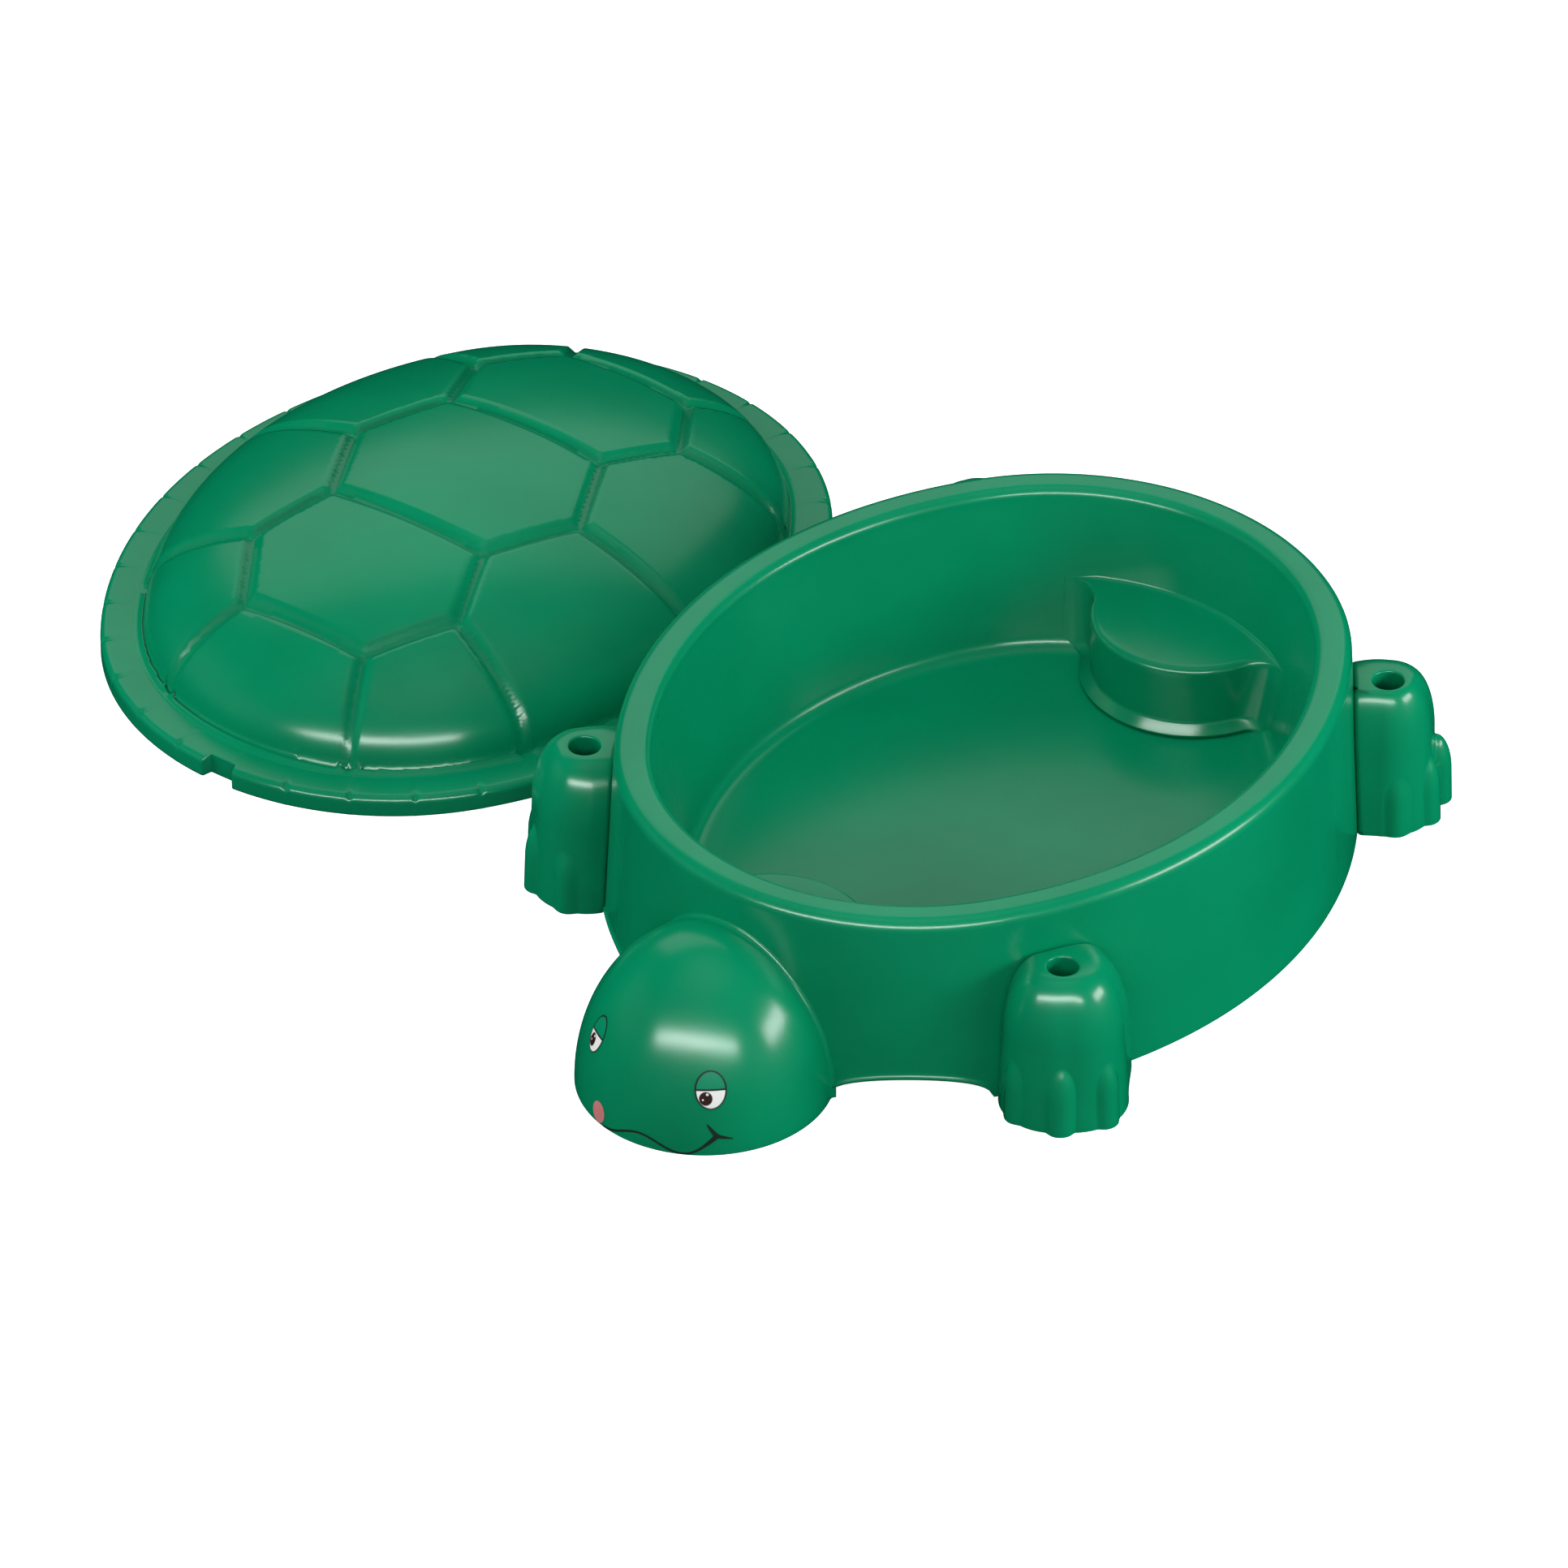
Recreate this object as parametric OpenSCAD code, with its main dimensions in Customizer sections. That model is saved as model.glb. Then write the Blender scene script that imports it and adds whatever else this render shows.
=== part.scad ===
// Oval play tub in the shape of a turtle, with a lift-off shell cover that lies beside it.
// The head points towards -Y. The origin is on the ground under the middle of the tub.

/* [Tub] */
// Length of the rim, from the head end to the tail end
rim_length = 892; // [740:1:1080]
// Width of the rim
rim_width = 722; // [590:1:870]
// Height of the rim above the ground
tub_height = 228; // [190:1:280]
// Width of the rolled rim, across its top
rim_band = 40; // [32:1:50]
// Radius of the rim's outer shoulder
outer_shoulder = 14; // [6:1:15]
// Radius of the rim's inner shoulder
inner_shoulder = 12; // [6:1:15]
// How far the foot of the outer wall stands outside the rim
wall_flare = 11; // [0:1:20]
// How far the foot of the inner wall stands inside the rim's inner edge
bowl_draft = 36; // [10:1:50]
// Height of the play floor above the ground
floor_height = 40; // [30:1:60]
// Radius between the inner wall and the floor
floor_round = 18; // [6:1:30]
// Thickness of the moulded plastic
skin = 3.5; // [2.5:0.1:5]
// Thickness of the ribs that carry the floor
rib_thickness = 4; // [3:0.5:6]
// Distance of the ribs' ends inside the rim
rib_inset = 110; // [100:1:160]

/* [Arches in the outer wall, between the head and the front legs] */
// Rise of each arch above the ground
arch_rise = 30; // [10:1:45]
// Width of each arch along the ground
arch_width = 130; // [60:1:150]
// Direction of each arch from the middle of the head end, forward of sideways
arch_angle = 54; // [48:1:60]

/* [Head] */
// Radius of the head at the ground
head_radius = 139; // [110:1:165]
// Height of the head
head_height = 184; // [150:1:215]
// Distance of the head's centre line beyond the rim
head_reach = 39; // [20:1:70]

/* [Legs] */
// Radius of a front leg's rounded corners at the ground
front_leg_radius = 60; // [52:1:68]
// Radius of a rear leg's rounded corners at the ground
rear_leg_radius = 53; // [46:1:60]
// Width of the flat front of a front leg
front_leg_flat = 19; // [6:1:30]
// Width of the flat front of a rear leg
rear_leg_flat = 17; // [6:1:30]
// Distance of a front leg's middle from its hole, away from the head
front_leg_shift = 2.5; // [0:0.5:8]
// Distance of a rear leg's middle from its hole, away from the head
rear_leg_shift = 15.5; // [8:0.5:18]
// Height of a leg
leg_height = 176; // [140:1:205]
// Radius of the flat round a leg's hole
leg_land = 24; // [22:1:30]
// Distance of a leg's hole outside the rim
leg_standoff = 39.5; // [32:0.5:52]
// Direction of the front legs from the middle of the head end, forward of sideways
front_leg_angle = 26; // [20:1:32]
// Direction of the rear legs from the middle of the tail end, behind sideways
rear_leg_angle = 37; // [30:1:52]
// Direction that the front legs stand out in, forward of sideways
front_leg_turn = 50; // [35:1:60]
// Direction that the rear legs stand out in, behind sideways
rear_leg_turn = 28; // [15:1:50]
// Turn of the front feet from their legs, towards the head
front_foot_turn = 7; // [0:1:15]
// Turn of the rear feet from their legs, towards the head
rear_foot_turn = 28; // [10:1:50]
// Radius of the pole socket in each leg
socket_radius = 17; // [12:0.5:18]
// Depth of the pole socket
socket_depth = 60; // [30:1:90]
// Radius of a toe
toe_radius = 17; // [14:1:19]
// Height of a toe
toe_height = 80; // [50:1:100]
// Distance of a toe's centre line from the middle of its foot
toe_reach = 63; // [58:1:67]
// Distance of a foot's middle behind the leg's hole
foot_setback = 11; // [6:1:16]
// Distance of a front foot's middle from its hole, away from the head
front_foot_shift = 4; // [0:1:8]
// Distance of a rear foot's middle from its hole, away from the head
rear_foot_shift = 28; // [22:1:32]
// Angle between neighbouring toes of a front foot
front_toe_spread = 45; // [40:1:50]
// Angle between neighbouring toes of a rear foot
rear_toe_spread = 37; // [35:1:42]

/* [Seats] */
// Height of a seat above the play floor
seat_height = 85; // [60:1:110]
// Plan radius of a seat's rounded front
seat_radius = 112; // [85:1:130]
// Distance of a seat's centre inside the rim's end
seat_inset = 71; // [60:1:90]

/* [Cover] */
// Clearance between the rim and the cover's lip
cover_clearance = 6; // [3:0.5:12]
// Thickness of the cover
cover_skin = 3.5; // [2.5:0.1:5]
// Height of the cover's lip
lip_height = 24; // [16:1:36]
// Radius of the lip's outer edge
lip_round = 8; // [5:1:12]
// Width of the flat flange, from the lip to the foot of the dome
flange_width = 48; // [35:1:60]
// Rise of the dome above the flange
dome_rise = 143; // [100:1:180]
// Power of the dome's fall towards its foot: larger is flatter on top
dome_flatness = 1.8; // [1.5:0.1:2.6]
// Power of the dome's shoulder: larger is steeper at the foot
dome_shoulder = 2.2; // [1.6:0.1:2.8]
// Width of the lifting notch in the lip's head end
notch_width = 36; // [20:1:50]
// Depth of the lifting notch
notch_depth = 12; // [6:1:16]
// Gap between the tub's foot and the cover laid beside it
aside_gap = 20; // [15:1:80]
// How far towards the tail the cover is laid
aside_shift = 60; // [0:1:120]
// Turn of the cover as it is laid
aside_turn = 2; // [0:1:4]

/* [Face stickers] */
// Thickness of a sticker
sticker_thickness = 0.4; // [0.2:0.1:0.6]
// Turn of the face on the head, towards the turtle's left
face_turn = 6; // [-10:1:10]
// Direction of an eye from the middle of the face
eye_angle = 35; // [30:1:42]
// Height of the left eye's centre on the head
left_eye_height = 78; // [72:1:100]
// Height of the right eye's centre on the head
right_eye_height = 88; // [72:1:100]
// Width of an eye
eye_width = 33; // [26:1:38]
// Height of an eye
eye_tall = 48; // [36:1:54]
// Height of the mouth's middle on the head
mouth_height = 19; // [16:1:40]
// Width of the mouth, corner to corner
mouth_width = 156; // [120:1:180]
// Width of the mouth's line
mouth_line_width = 4; // [3:0.5:6]
// Dip of the mouth's line between its middle and its corners
mouth_dip = 11; // [6:1:12]
// Rise of the mouth's corners
mouth_rise = 14; // [8:1:17]
// Direction of the nose spot from the middle of the face, towards the turtle's right
nose_angle = 20; // [0:1:24]
// Height of the nose spot's centre above the mouth's middle
nose_lift = 9; // [9:1:24]
// Width of the nose spot
nose_width = 26; // [18:1:34]
// Height of the nose spot
nose_tall = 24; // [16:1:24]

/* [Hidden] */
$fn = 96;
green = [0.02, 0.52, 0.34];
// Clearance between pieces that meet at a moulded crease
crease = 0.2;
// A cut reaches this far past what it cuts
past = 1;
// Lap of a cutter's arcs, at the far end of the line where they meet
cutter_lap = 10;
// Chords in a rounded corner of a section
corner_steps = 5;

// The rim's outline is an oval of four arcs, two ends and two sides. The arcs meet on the
// long sides of four 3-4-5 triangles, whose shorter sides lie on the oval's axes.
half_length = rim_length / 2;
half_width = rim_width / 2;
unit = (half_length - half_width) / 2;
end_centre = 3 * unit;
side_centre = 4 * unit;
end_radius = half_length - end_centre;
side_radius = half_width + side_centre;
join_line = [4, 3] / 5;
join_angle = atan2(join_line.y, join_line.x);

// Points of a round corner about centre, from angle a to angle b
function corner(centre, radius, a, b, steps = corner_steps) =
    [for (i = [0:steps]) centre + radius * [cos(a + (b - a) * i / steps), sin(a + (b - a) * i / steps)]];

// A ring of the given section, kept only inside a wedge of the given corners
module arc_of_ring(radius, section, wedge) {
    intersection() {
        rotate_extrude() translate([radius, 0]) polygon(section);
        translate([0, 0, -rim_length]) linear_extrude(2 * rim_length) polygon(wedge);
    }
}

// Sweeps a section round the oval. The section's x is the distance outside the rim. In a
// cutter the ends lap over the sides, so that no sliver is left uncut where the arcs meet.
module around_oval(section, lap = 0) {
    far = rim_length + rim_width;
    right = far * join_line;
    left = [-right.x, right.y];
    for (side = [0, 1]) {
        mirror([side, 0, 0]) translate([-side_centre, 0])
            arc_of_ring(side_radius, section, [[0, 0], [right.x, -right.y], right]);
        mirror([0, side, 0]) translate([0, end_centre])
            arc_of_ring(end_radius, section, [
                [0, 0], right + [lap, -lap], [right.x + lap, far],
                [left.x - lap, far], left - [lap, lap]]);
    }
}

// Points round the oval at a distance outside the rim, the same number on each arc and
// none where two arcs meet
function oval_outline(outside, steps = 16) = [
    for (side = [1, -1])
        each concat(
            [for (i = [0:steps - 1]) let(a = join_angle * ((2 * i + 1) / steps - 1))
                side * [(side_radius + outside) * cos(a) - side_centre, (side_radius + outside) * sin(a)]],
            [for (i = [0:steps - 1]) let(a = join_angle + (180 - 2 * join_angle) * (i + 0.5) / steps)
                side * [(end_radius + outside) * cos(a), (end_radius + outside) * sin(a) + end_centre]])];

// The bowl's inner face, from the rim down to the floor
bowl_top = [-rim_band, tub_height - inner_shoulder];
bowl_foot = [-rim_band - bowl_draft, floor_height];
wall_lean = atan2(bowl_draft, bowl_top.y - bowl_foot.y);
// The floor's round is tangent to the sloping wall and to the floor.
round_back = floor_round * tan((90 - wall_lean) / 2);
floor_corner = [bowl_foot.x - round_back, floor_height + floor_round];
bowl_face = concat([bowl_top], corner(floor_corner, floor_round, -wall_lean, -90));

// The rim's top, from its outer shoulder to its inner shoulder
rim_outside = [-outer_shoulder, tub_height - outer_shoulder];
rim_inside = [-rim_band + inner_shoulder, tub_height - inner_shoulder];
function rim_top(inset) = concat(
    corner(rim_outside, outer_shoulder - inset, 0, 90),
    corner(rim_inside, inner_shoulder - inset, 90, 180));

// Points along the inner face of the rim's corners, from the bowl's side to the outer wall
rim_under = concat(
    [for (i = [0:corner_steps]) rim_inside + (inner_shoulder - skin)
        * [cos(180 - 90 * i / corner_steps), sin(180 - 90 * i / corner_steps)]],
    [for (i = [0:corner_steps]) rim_outside + (outer_shoulder - skin)
        * [cos(90 - 90 * i / corner_steps), sin(90 - 90 * i / corner_steps)]]);

// The floor's plate reaches a little way into the floor's round.
module floor_plate() {
    translate([0, 0, floor_height - skin]) linear_extrude(skin)
        polygon(oval_outline(floor_corner.x + skin / 2));
}

// Two crossed ribs that stand on the ground and carry the floor
module floor_ribs() {
    rib_height = floor_height - skin - crease;
    color(green)
        for (size = [[rim_width - 2 * rib_inset, rib_thickness], [rib_thickness, rim_length - 2 * rib_inset]])
            translate([-size.x / 2, -size.y / 2, 0]) cube([size.x, size.y, rib_height]);
}

// A cylinder laid along the wall's normal, whose top is the arch
module arch_cut() {
    radius = (pow(arch_width / 2, 2) + pow(arch_rise, 2)) / (2 * arch_rise);
    translate([0, -end_centre, arch_rise - radius]) rotate(-arch_angle) rotate([0, 90, 0])
        translate([0, 0, end_radius - rim_band]) cylinder(r = radius, h = rim_band + wall_flare + past);
}

// The outer wall and the rolled rim
module rim_wall() {
    color(green) difference() {
        around_oval(concat([[wall_flare, 0]], rim_top(0), rim_under, [[wall_flare - skin, 0]]));
        arch_cut();
        mirror([1, 0, 0]) arch_cut();
    }
}

// The inner wall, from just under the rim, and the play floor
module bowl() {
    top = rim_inside.y - crease;
    color(green) {
        around_oval(concat(
            [[-rim_band, top]],
            corner(floor_corner, floor_round, -wall_lean, -90),
            [[floor_corner.x, floor_height - skin]],
            corner(floor_corner, floor_round + skin, -90, -wall_lean),
            [[-rim_band + skin, top]]));
        floor_plate();
    }
}

// The space that the tub's outer wall takes up, as seen by the head and the legs
module tub_outline() {
    depth = head_radius + rim_band;
    around_oval(concat(
        [[-depth, -past], [wall_flare + crease, -past]],
        corner(rim_outside, outer_shoulder + crease, 0, 90),
        [[-depth, tub_height + crease]]), cutter_lap);
}

head_place = [0, -half_length - head_reach, 0];
// Points up the head's half-oval section, at a distance outside its surface
function head_side(outside, steps = 18) =
    [for (i = [0:steps]) [(head_radius + outside) * cos(90 * i / steps),
                          (head_height + outside) * sin(90 * i / steps)]];
function reversed(list) = [for (i = [len(list) - 1:-1:0]) list[i]];

module head() {
    color(green) difference() {
        translate(head_place) rotate_extrude()
            polygon(concat(head_side(0), reversed(head_side(-skin))));
        tub_outline();
    }
}

// A leg is a round-topped column that runs back into the tub's wall. Its front has a
// quarter round at each side and a flat between them.
leg_shoulder_share = 0.92;
leg_shoulder_height = leg_height * 0.55;
function leg_side(radius, inset, steps = 8) = concat(
    [[radius - inset, 0]],
    [for (i = [0:steps]) [leg_land - inset + (radius * leg_shoulder_share - leg_land) * cos(90 * i / steps),
        leg_shoulder_height - inset + (leg_height - leg_shoulder_height) * sin(90 * i / steps)]]);

// The column from its side's section, with its quarter rounds centred on the two places
module leg_column(side, near, far, run) {
    half = concat([[0, 0]], side, [[0, side[len(side) - 1].y]]);
    translate([0, far, 0]) rotate_extrude(angle = 90) polygon(half);
    translate([0, near, 0]) rotate(-90) rotate_extrude(angle = 90) polygon(half);
    translate([0, far, 0]) rotate([90, 0, 0]) linear_extrude(far - near) polygon(half);
    rotate([90, 0, -90]) linear_extrude(run)
        polygon(concat([for (p = side) [p.x - near, p.y]], reversed([for (p = side) [-p.x - far, p.y]])));
}

module toe(turn) {
    rotate(turn) translate([toe_reach, 0]) rotate_extrude()
        polygon(concat([[0, 0], [toe_radius, 0]],
                       corner([0, toe_height - toe_radius], toe_radius, 0, 90)));
}

module leg(place, turn, radius, flat, shift, foot_turn, foot_shift, toe_spread) {
    near = shift - flat / 2;
    far = shift + flat / 2;
    run = leg_standoff + rim_band + radius;
    color(green) difference() {
        translate(place) rotate(turn) difference() {
            union() {
                difference() {
                    union() {
                        leg_column(leg_side(radius, 0), near, far, run);
                        translate([-foot_setback, foot_shift])
                            for (step = [-1:1]) toe(step * toe_spread - foot_turn);
                    }
                    leg_column(leg_side(radius, skin), near, far, run);
                }
                translate([0, 0, leg_height - socket_depth])
                    cylinder(r = socket_radius + skin, h = socket_depth - skin / 2);
            }
            translate([0, 0, leg_height - socket_depth - past])
                cylinder(r = socket_radius, h = socket_depth + 2 * past);
        }
        tub_outline();
    }
}

leg_distance = end_radius + leg_standoff;
front_leg_place = [leg_distance * cos(front_leg_angle),
                   -end_centre - leg_distance * sin(front_leg_angle), 0];
rear_leg_place = [leg_distance * cos(rear_leg_angle),
                  end_centre + leg_distance * sin(rear_leg_angle), 0];

module leg_front_left() {
    leg(front_leg_place, -front_leg_turn, front_leg_radius, front_leg_flat, front_leg_shift,
        front_foot_turn, front_foot_shift, front_toe_spread);
}

module leg_front_right() {
    mirror([1, 0, 0]) leg_front_left();
}

module leg_rear_left() {
    leg(rear_leg_place, rear_leg_turn, rear_leg_radius, rear_leg_flat, rear_leg_shift,
        rear_foot_turn, rear_foot_shift, rear_toe_spread);
}

module leg_rear_right() {
    mirror([1, 0, 0]) leg_rear_left();
}

// Everything outside the bowl's face, which a seat stays clear of
module bowl_surround() {
    around_oval(concat(
        [for (p = bowl_face) p + crease * [-1, 1]],
        [[floor_corner.x, floor_height - past], [seat_radius, floor_height - past],
         [seat_radius, tub_height]]), cutter_lap);
}

module seat_rear() {
    color(green) difference() {
        translate([0, half_length - seat_inset, floor_height + crease]) difference() {
            cylinder(r = seat_radius, h = seat_height);
            translate([0, 0, -past]) cylinder(r = seat_radius - skin, h = seat_height - skin + past);
        }
        bowl_surround();
    }
}

module seat_front() {
    mirror([0, 1, 0]) seat_rear();
}

// A sticker is what an outline, seen from straight ahead, marks off on the head.
module sticker(turn, outline) {
    lift = crease + sticker_thickness;
    translate(head_place) intersection() {
        rotate_extrude() polygon(concat(head_side(lift), reversed(head_side(crease))));
        rotate(turn - 90) rotate([90, 0, 90]) linear_extrude(head_radius + head_reach) polygon(outline);
    }
}

function ellipse(width, tall, middle, steps = 32) =
    [for (i = [0:steps - 1]) [width / 2 * cos(360 * i / steps), middle + tall / 2 * sin(360 * i / steps)]];

module eye_left() {
    color("white") sticker(face_turn + eye_angle, ellipse(eye_width, eye_tall, left_eye_height));
}

module eye_right() {
    color("white") sticker(face_turn - eye_angle, ellipse(eye_width, eye_tall, right_eye_height));
}

module nose_spot() {
    color("pink") sticker(face_turn - nose_angle, ellipse(nose_width, nose_tall, mouth_height + nose_lift));
}

// Height of the mouth's line, where share runs from 0 in the middle to 1 at a corner
function mouth_curve(share) =
    mouth_height - mouth_dip * (1 - cos(300 * share)) / 2 + mouth_rise * pow(share, 3);

module mouth_line() {
    steps = 24;
    middle = [for (i = [-steps:steps]) [i / steps * mouth_width / 2, mouth_curve(abs(i / steps))]];
    upper = [for (p = middle) [p.x, p.y + mouth_line_width / 2]];
    lower = [for (p = middle) [p.x, p.y - mouth_line_width / 2]];
    color("black") sticker(face_turn, concat(upper, reversed(lower)));
}

// The cover fits over the rim: its lip stands outside the rim, and its flange rests on it.
lip_outside = cover_clearance + cover_skin;
dome_foot = lip_outside - flange_width;
lip_centre = [lip_outside - lip_round, lip_height - lip_round];
aside_place = [-rim_width - wall_flare - aside_gap - lip_outside, aside_shift, 0];

module laid_aside() {
    translate(aside_place) rotate(aside_turn) children();
}

// A dome's points in rings, at angles up from its foot
function dome_points(outside, rise, angles) =
    let(foot = oval_outline(outside))
    [for (angle = angles, p = foot) let(share = cos(angle))
        [p.x * share, p.y * share,
         lip_height + rise * pow(1 - pow(share, dome_flatness), 1 / dome_shoulder)]];

// A band of the dome's shell between its first and last angle, closed over at the top or open
module dome_band(angles, closed) {
    outer = dome_points(dome_foot, dome_rise, angles);
    inner = dome_points(dome_foot - cover_skin, dome_rise - cover_skin, angles);
    inside = len(outer);
    turns = inside / len(angles);
    last = inside - turns;
    function skin_faces(first, flip) =
        [for (j = [0:len(angles) - 2], i = [0:turns - 1])
            let(a = first + j * turns + i, b = first + j * turns + (i + 1) % turns)
            each flip ? [[a, b, b + turns], [a, b + turns, a + turns]]
                      : [[a, b + turns, b], [a, a + turns, b + turns]]];
    function edge_faces(first, flip) =
        [for (i = [0:turns - 1]) let(a = first + i, b = first + (i + 1) % turns)
            each flip ? [[a, inside + b, b], [a, inside + a, inside + b]]
                      : [[a, b, inside + b], [a, inside + b, inside + a]]];
    top_faces = closed
        ? [[for (i = [0:turns - 1]) last + turns - 1 - i], [for (i = [0:turns - 1]) inside + last + i]]
        : edge_faces(last, true);
    polyhedron(concat(outer, inner),
               concat(skin_faces(0, false), skin_faces(inside, true), edge_faces(0, false), top_faces));
}

// The dome is made in two bands that meet at this angle.
band_angle = 36;
band_steps = 5;

module shell_crown() {
    top_angle = 88;
    color(green) laid_aside() dome_band(
        [for (i = [0:band_steps]) band_angle + (top_angle - band_angle) * i / band_steps], true);
}

module shell_side() {
    angle_gap = crease / half_width * 180 / PI / sin(band_angle);
    color(green) laid_aside() dome_band(
        [for (i = [0:band_steps]) (band_angle - angle_gap) * i / band_steps], false);
}

module cover_flange() {
    inner_edge = dome_foot - cover_skin;
    color(green) laid_aside() difference() {
        around_oval(concat(
            [[lip_outside, 0]],
            corner(lip_centre, lip_round, 0, 90),
            [[inner_edge, lip_height], [inner_edge, lip_height - cover_skin]],
            corner(lip_centre, lip_round - cover_skin, 90, 0),
            [[lip_outside - cover_skin, 0]]));
        translate([-notch_width / 2, -half_length - lip_outside - past, -past])
            cube([notch_width, notch_depth + past, lip_height + 2 * past]);
    }
}

rim_wall();
bowl();
floor_ribs();
head();
leg_front_left();
leg_front_right();
leg_rear_left();
leg_rear_right();
seat_front();
seat_rear();
eye_left();
eye_right();
nose_spot();
mouth_line();
shell_crown();
shell_side();
cover_flange();
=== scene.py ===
import math

import bmesh
import bpy
import numpy as np
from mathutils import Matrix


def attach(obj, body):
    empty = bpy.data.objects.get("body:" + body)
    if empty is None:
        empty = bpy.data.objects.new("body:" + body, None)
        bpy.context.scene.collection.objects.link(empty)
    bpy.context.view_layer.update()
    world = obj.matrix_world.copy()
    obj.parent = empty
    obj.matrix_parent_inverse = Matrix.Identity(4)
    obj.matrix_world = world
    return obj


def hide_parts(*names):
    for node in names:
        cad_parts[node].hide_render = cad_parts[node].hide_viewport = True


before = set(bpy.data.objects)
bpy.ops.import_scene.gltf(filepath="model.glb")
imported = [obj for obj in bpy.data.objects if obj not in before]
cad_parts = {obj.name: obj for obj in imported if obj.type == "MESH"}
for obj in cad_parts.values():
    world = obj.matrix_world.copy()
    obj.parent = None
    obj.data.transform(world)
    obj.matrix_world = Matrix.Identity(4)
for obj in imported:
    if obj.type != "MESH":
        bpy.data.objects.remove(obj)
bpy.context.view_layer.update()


# --- The table, the lamps and the camera ---------------------------------------------------
# The tub and its cover stand on a plain pale table. A long lamp hangs in front of the head
# and a squarer one to the turtle's left, and a pale room fills the shadows.
def stage_table(name, height, grey, glow):
    """A flat square, wide enough that its edge stays out of every view."""
    reach = 30.0
    mesh = bpy.data.meshes.new(name)
    corners = [(-reach, -reach, height), (reach, -reach, height), (reach, reach, height),
               (-reach, reach, height)]
    mesh.from_pydata(corners, [], [(0, 1, 2, 3)])
    table = bpy.data.objects.new(name, mesh)
    bpy.context.scene.collection.objects.link(table)
    paint = bpy.data.materials.new(name + "_paint")
    paint.use_nodes = True
    shader = paint.node_tree.nodes["Principled BSDF"]
    shader.inputs["Base Color"].default_value = (grey, grey, grey, 1)
    shader.inputs["Roughness"].default_value = 0.9
    shader.inputs["Specular IOR Level"].default_value = 0.0
    shader.inputs["Emission Color"].default_value = (1, 1, 1, 1)
    shader.inputs["Emission Strength"].default_value = glow
    mesh.materials.append(paint)
    table.visible_glossy = False
    return table


def lamp(name, azimuth, elevation, distance, size, strength, shows=True, lights=True):
    """A rectangular lamp that faces the tub's middle, azimuth turned from -Y towards +X.
    One that doesn't show leaves no reflection, and one that doesn't light leaves only that."""
    data = bpy.data.lights.new(name, "AREA")
    data.shape = "RECTANGLE"
    data.size, data.size_y = size
    data.energy = strength * size[0] * size[1]
    lamp_object = bpy.data.objects.new(name, data)
    a, e = math.radians(azimuth), math.radians(elevation)
    lamp_object.location = (distance * math.cos(e) * math.sin(a),
                            -0.3 - distance * math.cos(e) * math.cos(a), distance * math.sin(e))
    lamp_object.rotation_euler = (math.pi / 2 - e, 0, a)
    lamp_object.visible_glossy = shows
    lamp_object.visible_diffuse = lights
    bpy.context.scene.collection.objects.link(lamp_object)


# The bright table is what shows. A greyer one just under it throws a little light back up.
stage_table("table_top", 0.0, 0.9, 0.85).visible_diffuse = False
stage_table("table_core", -0.001, 0.6, 0.0).visible_camera = False
lamp("lamp_front", 27, 31, 3.2, (5.0, 0.5), 62, lights=False)
lamp("lamp_front_fill", 27, 33, 3.2, (3.4, 0.7), 17, shows=False)
lamp("lamp_side", 116, 20, 3.2, (1.6, 0.7), 42)
lamp("lamp_side_fill", 100, 12, 4.0, (3.0, 2.0), 9, shows=False)
lamp("lamp_left_fill", -60, 20, 4.0, (3.0, 2.0), 12, shows=False)
lamp("lamp_back", -142, 38, 4.5, (5.5, 2.6), 2.4)
lamp("lamp_above", 0, 89, 4.0, (3.0, 3.0), 8.5, shows=False)

room = bpy.data.worlds.new("pale_room")
room.use_nodes = True
room.node_tree.nodes["Background"].inputs["Color"].default_value = (1, 1, 1, 1)
room.node_tree.nodes["Background"].inputs["Strength"].default_value = 0.2
bpy.context.scene.world = room
room.cycles_visibility.glossy = False
bpy.context.scene.view_settings.view_transform = "Standard"

camera_data = bpy.data.cameras.new("camera")
camera_data.lens = 372.67
camera_data.sensor_width = 36.0
camera_data.clip_end = 60.0
camera = bpy.data.objects.new("camera", camera_data)
camera.location = (8.53151, -11.26898, 10.36617)
camera.rotation_euler = (math.radians(54.02), 0, math.radians(38.0))
bpy.context.scene.collection.objects.link(camera)
bpy.context.scene.camera = camera


# --- The tub: outer wall, rolled rim, bowl and play floor -----------------------------------
# One rotationally moulded skin of green polyethylene. The wall stands on the ground, rolls
# over at the rim and runs down as the bowl. All lengths below are in millimetres.
HALF_LENGTH, HALF_WIDTH = 446.0, 361.0
END_CENTRE, SIDE_CENTRE = 127.5, 170.0
END_RADIUS, SIDE_RADIUS = HALF_LENGTH - END_CENTRE, HALF_WIDTH + SIDE_CENTRE
JOIN_ANGLE = math.atan2(3, 4)
RIM_HEIGHT, RIM_BAND = 228.0, 40.0
OUTER_SHOULDER, INNER_SHOULDER = 14.0, 12.0
WALL_TOP = RIM_HEIGHT - OUTER_SHOULDER
WALL_FLARE, BOWL_DRAFT = 11.0, 36.0
BOWL_TOP = RIM_HEIGHT - INNER_SHOULDER
FLOOR_HEIGHT, FLOOR_ROUND = 40.0, 18.0
SKIN = 3.5
ARCH_MIDDLE, ARCH_HALF, ARCH_HEIGHT = 37.5, 15.5, 30.0
BEAD_OUT, BEAD_HEIGHT, BEAD_HALF = 2.6, 3.2, 2.2


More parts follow.
